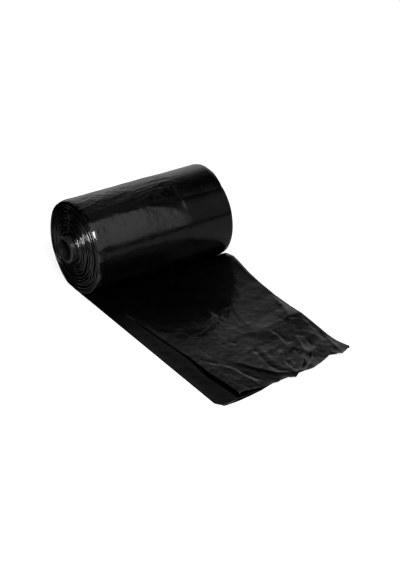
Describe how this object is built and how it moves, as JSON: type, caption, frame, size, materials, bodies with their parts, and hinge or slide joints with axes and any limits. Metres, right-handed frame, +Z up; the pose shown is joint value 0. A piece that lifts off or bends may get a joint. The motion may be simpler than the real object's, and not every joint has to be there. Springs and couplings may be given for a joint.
{
  "type": "roll of dog poop bags",
  "caption": "Roll of thin black waste bags, folded in three and wound on a tube core, with its loose end pulled out flat.",
  "frame": {"origin": "the point on the resting surface straight below the middle of the rolled web", "axes": "+X along the roll's axis, towards the end where the core is recessed; -Y along the loose end; +Z up"},
  "size_m": [0.0674, 0.1176, 0.036],
  "materials": {
    "core_tube": "smooth black moulded tube, satin gloss",
    "film": "thin black polyethylene film with a soft sheen and fine wrinkles"
  },
  "bodies": {
    "root": {"core": "core_tube", "bag_web": "film"}
  },
  "joints": []
}
